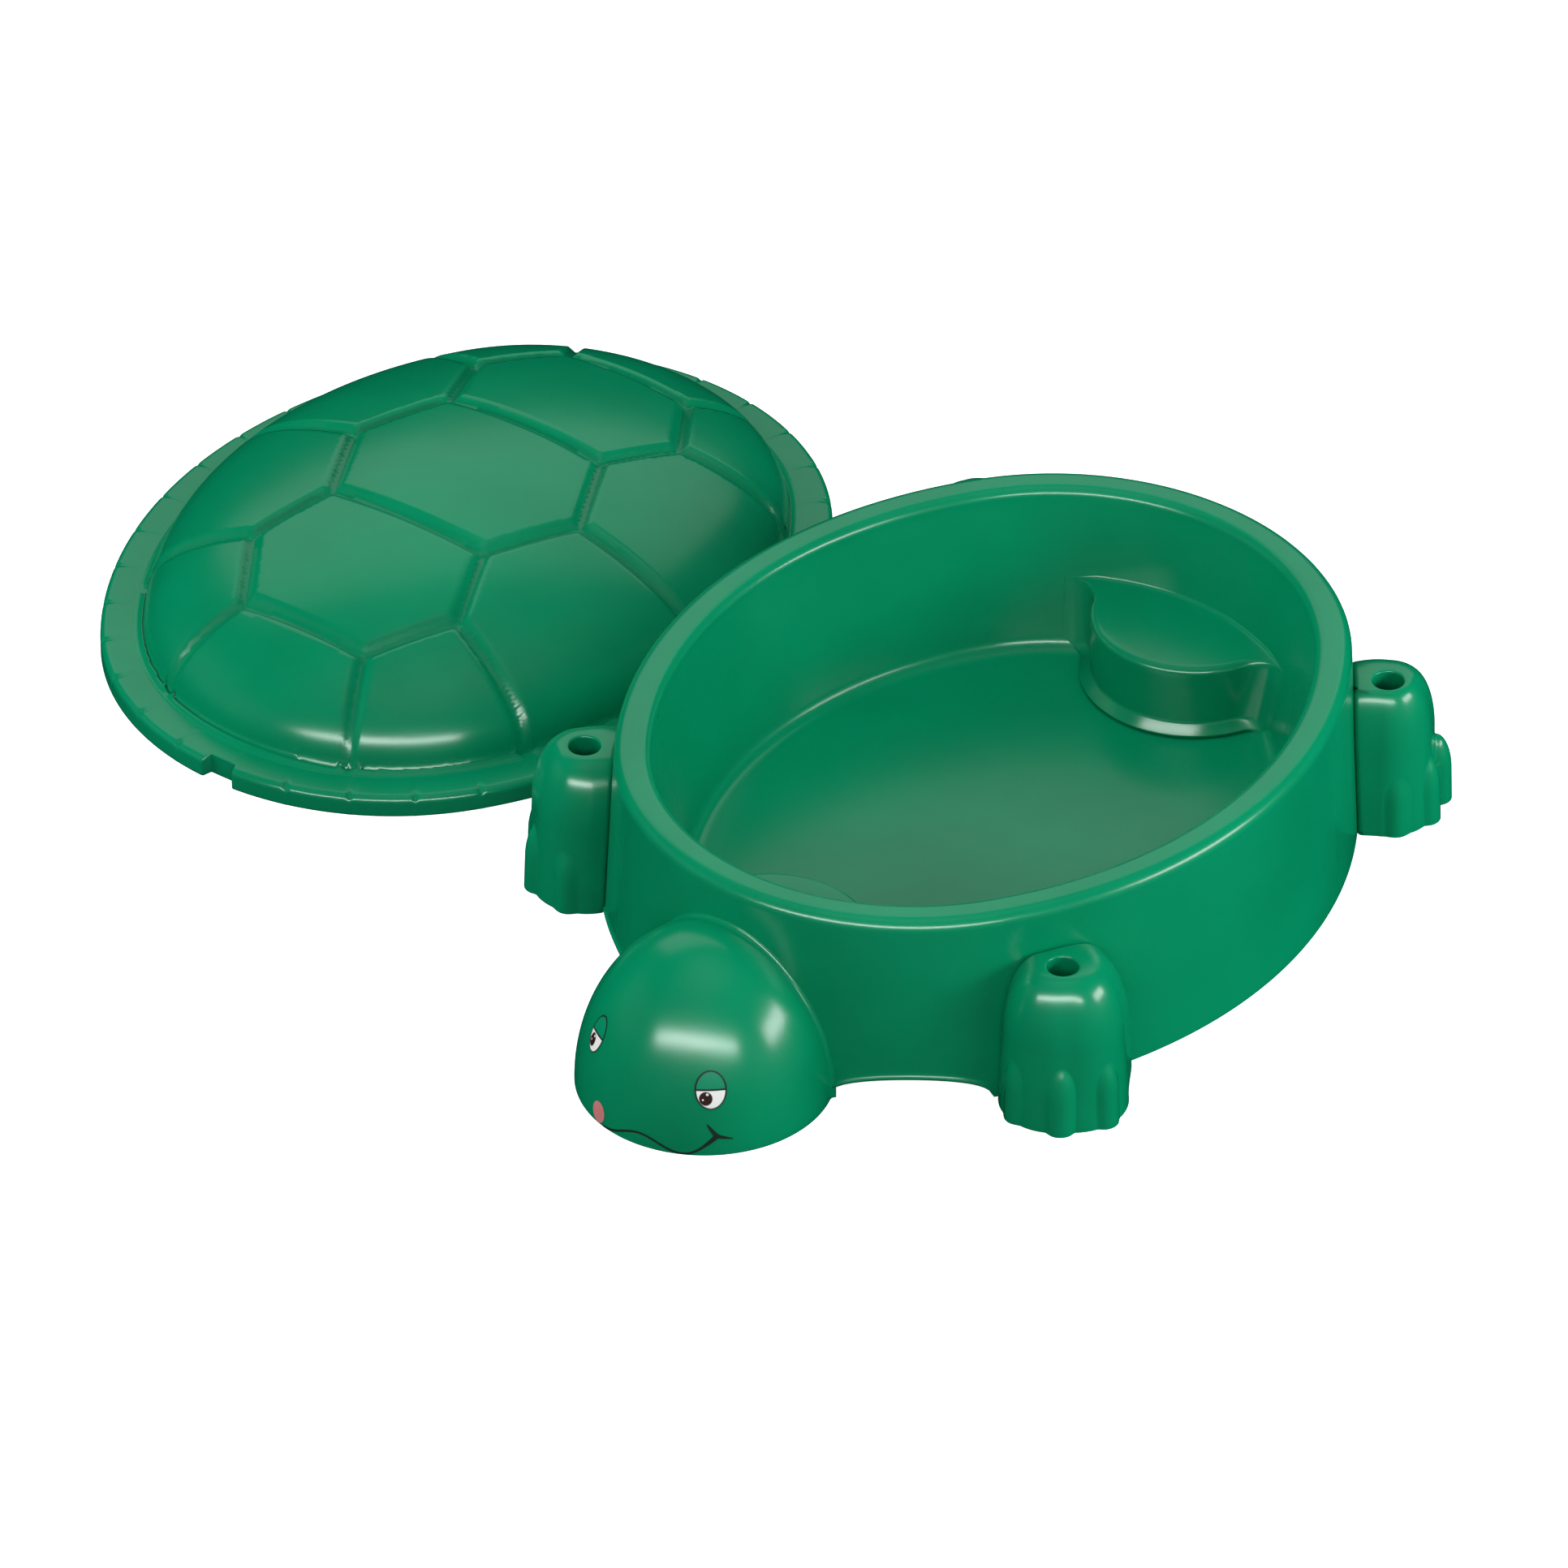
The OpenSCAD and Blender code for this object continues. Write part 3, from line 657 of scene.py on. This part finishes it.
def eye_print(name):
    """White lower half, green upper lid, black outline and lid line, and a dark pupil with
    two glints, which looks to the turtle's right."""
    paint = Paint(name, IOR=1.5, Specular_IOR_Level=0.4)
    uv = paint.node("ShaderNodeUVMap", {"uv_map": "print"})
    split = paint.tree.nodes.new("ShaderNodeSeparateXYZ")
    paint.set(split.inputs[0], uv)
    u, v = Socket(paint, split.outputs[0]), Socket(paint, split.outputs[1])

    def disc(cu, cv, ru, rv, soft=0.1):
        du, dv = (u - cu) / ru, (v - cv) / rv
        return 1 - (du * du + dv * dv).between(1 - soft, 1 + soft)

    white, black = (0.8, 0.82, 0.8, 1), (0.012, 0.012, 0.012, 1)
    from_lid = v - LID_LINE
    colour = paint.blend(from_lid.between(-0.02, 0.02), white, (0.0, 0.235, 0.112, 1))
    pupil = disc(-0.32, -0.42, 0.42, 0.36) * (v < 0.0)
    colour = paint.blend(pupil, colour, (0.03, 0.012, 0.01, 1))
    glints = disc(-0.22, -0.2, 0.09, 0.07, 0.3).largest(disc(-0.5, -0.48, 0.06, 0.05, 0.3))
    colour = paint.blend(glints, colour, white)
    rim = 1 - disc(0, 0, 0.9, 0.93, 0.05)
    lid = 1 - from_lid.maths("ABSOLUTE", from_lid).between(0.035, 0.06)
    colour = paint.blend(rim.largest(lid), colour, black)
    paint.wear("Base Color", colour)
    grain = paint.noise(paint.place(), 700.0)
    paint.wear("Roughness", 0.26 + grain * 0.06)
    return paint.material


for side, turn, height, width in (("left", 35, 76.5, 34.0), ("right", -36.5, 89.5, 27.0)):
    eye = oval_sticker("eye_" + side + "_print", FACE_TURN + turn, height, width, 41.0,
                       eye_print("eye_ink_" + side))
    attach(eye, "tub")
    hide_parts("eye_" + side)

pink = Paint("pink_ink", Specular_IOR_Level=0.35)
blush = pink.noise(pink.place(), 90.0, 3.0)
pink.wear("Base Color", pink.blend(blush, (0.52, 0.17, 0.17, 1), (0.62, 0.24, 0.23, 1)))
pink.wear("Roughness", 0.3 + blush * 0.1)
spot = oval_sticker("nose_print", FACE_TURN - 22, 14.6, 20.0, 26.0, pink.material)
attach(spot, "tub")
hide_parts("nose_spot")

ink = Paint("black_ink", Specular_IOR_Level=0.4)
ink_grain = ink.noise(ink.place(), 500.0)
ink.wear("Base Color", ink.blend(ink_grain, (0.008, 0.02, 0.014, 1), (0.016, 0.03, 0.022, 1)))
ink.wear("Roughness", 0.28 + ink_grain * 0.08)


def ribbon(line, widths, lift):
    """A flat line on the head: its points (across, height) carried to both sides by half the
    width, square to the line, and laid on the dome."""
    along = np.gradient(line, axis=0)
    along /= np.linalg.norm(along, axis=-1, keepdims=True)
    square = np.stack([-along[:, 1], along[:, 0]], -1)
    share = np.linspace(-0.5, 0.5, 5)[:, None, None]
    flat = line[None] + share * widths[None, :, None] * square[None]
    return on_head(FACE_TURN, flat[..., 0], flat[..., 1], lift)


def mouth():
    """The mouth's line runs from the pink spot up over a hump in the middle, down a dip and
    up to the corner, where two short strokes fork from it. Its height is a cosine wave of
    the distance across, and a square of the distance past the dip is added."""
    across = np.linspace(-50, 78.2, 121)
    wave = MOUTH_SWING * (1 - np.cos(math.pi * across / MOUTH_DIP))
    height = MOUTH_TOP - wave + MOUTH_CURL * np.maximum(across - MOUTH_DIP, 0) ** 2
    line = np.stack([across + 5.5, height], -1)
    widths = 2.6 + 2.2 * smooth_step((across - 62) / 16)
    strokes = [(line, widths)]
    for end in ((-9.5, 14.7), (13.0, -4.3)):
        t = np.linspace(0, 1, 24)[:, None]
        strokes.append((line[-1] + t * np.array(end), 5.0 - 3.6 * t[:, 0]))
    return strokes


mouth_parts = []
for stroke_number, (stroke, widths) in enumerate(mouth()):
    flat_line = ribbon(stroke, widths, STICKER + STROKE_STEP * stroke_number)
    part = grid_piece("mouth_part_%d" % stroke_number, flat_line, ink.material, skin=0)
    mouth_parts.append(part)


def joined(name, parts):
    """One piece made of several meshes, which already share the origin."""
    shape = bmesh.new()
    for part in parts:
        shape.from_mesh(part.data)
    mesh = bpy.data.meshes.new(name)
    shape.to_mesh(mesh)
    shape.free()
    mesh.shade_smooth()
    mesh.materials.append(parts[0].data.materials[0])
    for part in parts:
        bpy.data.objects.remove(part)
    piece = bpy.data.objects.new(name, mesh)
    bpy.context.scene.collection.objects.link(piece)
    return piece


smile = joined("mouth_print", mouth_parts)
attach(smile, "tub")
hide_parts("mouth_line")


# --- The cover: the shell's dome -----------------------------------------------------------
# The cover is a second moulding of the same plastic, a turtle's shell that lies beside the
# tub. V-shaped grooves draw the shell's plates on its dome.
cover_green = moulded_green("cover_green")
LIP_OUTSIDE, LIP_HEIGHT, FLANGE_WIDTH, DOME_RISE = 9.5, 24.0, 48.0, 143.0
DOME_FOOT = LIP_OUTSIDE - FLANGE_WIDTH
VALLEY_ROUND = 12.0
DOME_REACH = 370.0
GROOVE_HALF, GROOVE_DEPTH, GROOVE_PULL = 10.5, 10.5, 2.5
COVER_TURN, COVER_X, COVER_Y = 2.0, -762.5, 60.0
NICKS, NICK_HALF = 36, 2.4
NOTCH_HALF, NOTCH_RUN, NOTCH_DEPTH = 16.5, 3.0, 12.0


def laid_aside(points):
    """Turns the cover a little and moves it to its place beside the tub."""
    turn = math.radians(COVER_TURN)
    x, y = points[..., 0], points[..., 1]
    return np.stack([x * math.cos(turn) - y * math.sin(turn) + COVER_X,
                     x * math.sin(turn) + y * math.cos(turn) + COVER_Y, points[..., 2]], -1)


def oval_reach(direction, outside):
    """How far the oval lies from its middle in a direction, on the side arc or the end arc
    as the direction passes the point where they meet."""
    s, c = np.abs(np.sin(direction)), np.abs(np.cos(direction))
    end, side = END_RADIUS + outside, SIDE_RADIUS + outside
    to_end = END_CENTRE * s + np.sqrt(np.maximum(end ** 2 - (END_CENTRE * c) ** 2, 0))
    to_side = -SIDE_CENTRE * c + np.sqrt(np.maximum(side ** 2 - (SIDE_CENTRE * s) ** 2, 0))
    join = math.atan2(END_CENTRE + 0.6 * end, 0.8 * end)
    return np.where(np.arctan2(s, c) > join, to_end, to_side)


def groove_lines():
    """The plates' edges on the plan: three hexagons down the spine, and strokes that run
    out from their corners almost to the dome's foot."""
    edge = [(82, -296), (140, -203), (103, -108), (154, 0), (103, 108), (140, 203), (82, 296)]
    lines = []
    for side in (1, -1):
        corner = [(x * side, y) for x, y in edge]
        lines += list(zip(corner[:-1], corner[1:]))
        for end in (1, -1):
            lines.append(((82 * side, 296 * end), (121 * side, 376 * end)))
            lines.append(((140 * side, 203 * end), (262 * side, 243 * end)))
        lines.append(((154 * side, 0), (296 * side, 0)))
    for x, y in ((82, -296), (103, -108), (103, 108), (82, 296)):
        lines.append(((-x, y), (x, y)))
    return np.array(lines, dtype=float)


def to_groove(plan):
    """Distance from each point of the plan to the nearest groove's line, and the direction
    away from it."""
    nearest = np.full(plan.shape[:-1], 1e9)
    away = np.zeros(plan.shape)
    for start, stop in groove_lines():
        along = stop - start
        share = np.clip(((plan - start) @ along) / (along @ along), 0, 1)
        gap = plan - (start + share[..., None] * along)
        distance = np.linalg.norm(gap, axis=-1)
        closer = distance < nearest
        nearest = np.where(closer, distance, nearest)
        away = np.where(closer[..., None], gap / np.maximum(distance, 1e-6)[..., None], away)
    return nearest, away


def dome_profile():
    """The dome's section as a table by length: a share of the way to its foot, a distance
    beyond the foot, and a height. Above, the height falls as a power of the share; below, a
    round valley turns the wall out on to the flange."""
    share = np.sin(np.radians(np.linspace(0, 90, 400)))
    height = LIP_HEIGHT + DOME_RISE * np.maximum(1 - share ** 1.8, 0) ** (1 / 2.2)
    keep = height > LIP_HEIGHT + VALLEY_ROUND
    turn = np.radians(np.linspace(0, 90, 40))
    share = np.concatenate([share[keep], np.ones(40)])
    beyond = np.concatenate([np.zeros(keep.sum()), VALLEY_ROUND * (1 - np.cos(turn))])
    height = np.concatenate([height[keep], LIP_HEIGHT + VALLEY_ROUND * (1 - np.sin(turn))])
    height[-1] -= 0.2
    outward = np.diff(DOME_REACH * share + beyond, prepend=0)
    length = np.cumsum(np.hypot(outward, np.diff(height, prepend=height[0])))
    return length / length[-1], share, beyond, height


def shell_dome(cells=212):
    """A square grid bent into a disc, whose radius is the way down the dome's section and
    whose angle is the way round the oval. Points near a groove's middle or shoulder are
    drawn on to it, so that its edges stay crisp, and then sunk by its depth."""
    u, v = np.meshgrid(np.linspace(-1, 1, cells + 1), np.linspace(-1, 1, cells + 1))
    x, y = u * np.sqrt(1 - v ** 2 / 2), v * np.sqrt(1 - u ** 2 / 2)
    radius = np.clip(np.hypot(x, y), 0, 1)
    angle = np.arctan2(HALF_LENGTH * y, HALF_WIDTH * x)
    length, share, beyond, height = dome_profile()
    reach = oval_reach(angle, DOME_FOOT)
    out = np.interp(radius, length, share) * reach + np.interp(radius, length, beyond)
    plan = np.stack([out * np.cos(angle), out * np.sin(angle)], -1)
    inside = smooth_step((1 - radius) / 0.04)[..., None]
    distance, away = to_groove(plan)
    for line in (0.0, GROOVE_HALF):
        pull = np.where(np.abs(distance - line) < GROOVE_PULL, line - distance, 0)
        plan = plan + inside * pull[..., None] * away
    out = np.hypot(plan[..., 0], plan[..., 1])
    direction = np.arctan2(plan[..., 1], plan[..., 0])
    foot = oval_reach(direction, DOME_FOOT)
    z_of_share = np.interp(np.minimum(out / foot, 1), share, height)
    z = np.where(radius < 0.97, z_of_share, np.interp(radius, length, height))
    distance = to_groove(plan)[0]
    sink = GROOVE_DEPTH * np.clip(1 - distance / GROOVE_HALF, 0, 1)
    z = z - sink * inside[..., 0]
    return np.concatenate([plan, z[..., None]], -1)


dome = grid_piece("shell_dome", laid_aside(shell_dome()), cover_green)
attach(dome, "cover")
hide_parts("shell_crown", "shell_side")


# --- The cover: its flange and lip ---------------------------------------------------------
# Round the dome runs a flat flange that rests on the tub's rim, and a lip that drops outside
# it. Short nicks mark off the shell's edge, and a notch at the head end takes a finger.
def shell_flange():
    """A section swept round the oval: from under the dome's foot over the flange and the
    lip's round shoulder down to the ground. The nicks are shallow dents a set distance
    apart, and the notch draws the lip inwards."""
    rim, away = oval_ring(320, 280)
    lip_round = 8.0
    section = np.concatenate([
        np.linspace([DOME_FOOT - 4, LIP_HEIGHT], [LIP_OUTSIDE - lip_round, LIP_HEIGHT], 16)[:-1],
        arc(LIP_OUTSIDE - lip_round, LIP_HEIGHT - lip_round, lip_round, 90, 0, 12),
        np.linspace([LIP_OUTSIDE, LIP_HEIGHT - lip_round], [LIP_OUTSIDE, 0.2], 8)[1:]])
    out = np.repeat(section[:, :1], len(rim), 1)
    up = np.repeat(section[:, 1:], len(rim), 1)
    gap = np.linalg.norm(np.roll(rim, -1, 0) - rim, axis=-1)
    travel = np.concatenate([[0], np.cumsum(gap)])
    spacing = travel[-1] / NICKS
    from_nick = np.abs((travel[:-1] + spacing / 2) % spacing - spacing / 2)[None]
    nick = np.exp(-(from_nick / NICK_HALF) ** 2)
    at_shoulder = np.exp(-((out - LIP_OUTSIDE + 5) / 5) ** 2) * np.exp(-((up - 21) / 6) ** 2)
    up = up - nick * (0.35 * (out > -24) + 2.6 * at_shoulder)
    out = out - nick * 1.6 * at_shoulder
    past_notch = smooth_step((np.abs(rim[:, 0]) - NOTCH_HALF) / NOTCH_RUN)
    at_head = (away[:, 1] < 0) * (1 - past_notch)
    out = np.minimum(out, LIP_OUTSIDE - NOTCH_DEPTH * at_head[None])
    plan = rim[None] + out[..., None] * away[None]
    return np.concatenate([plan, up[..., None]], -1)


flange = grid_piece("shell_flange", laid_aside(shell_flange()), cover_green, wrap=True, flip=True)
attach(flange, "cover")
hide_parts("cover_flange")
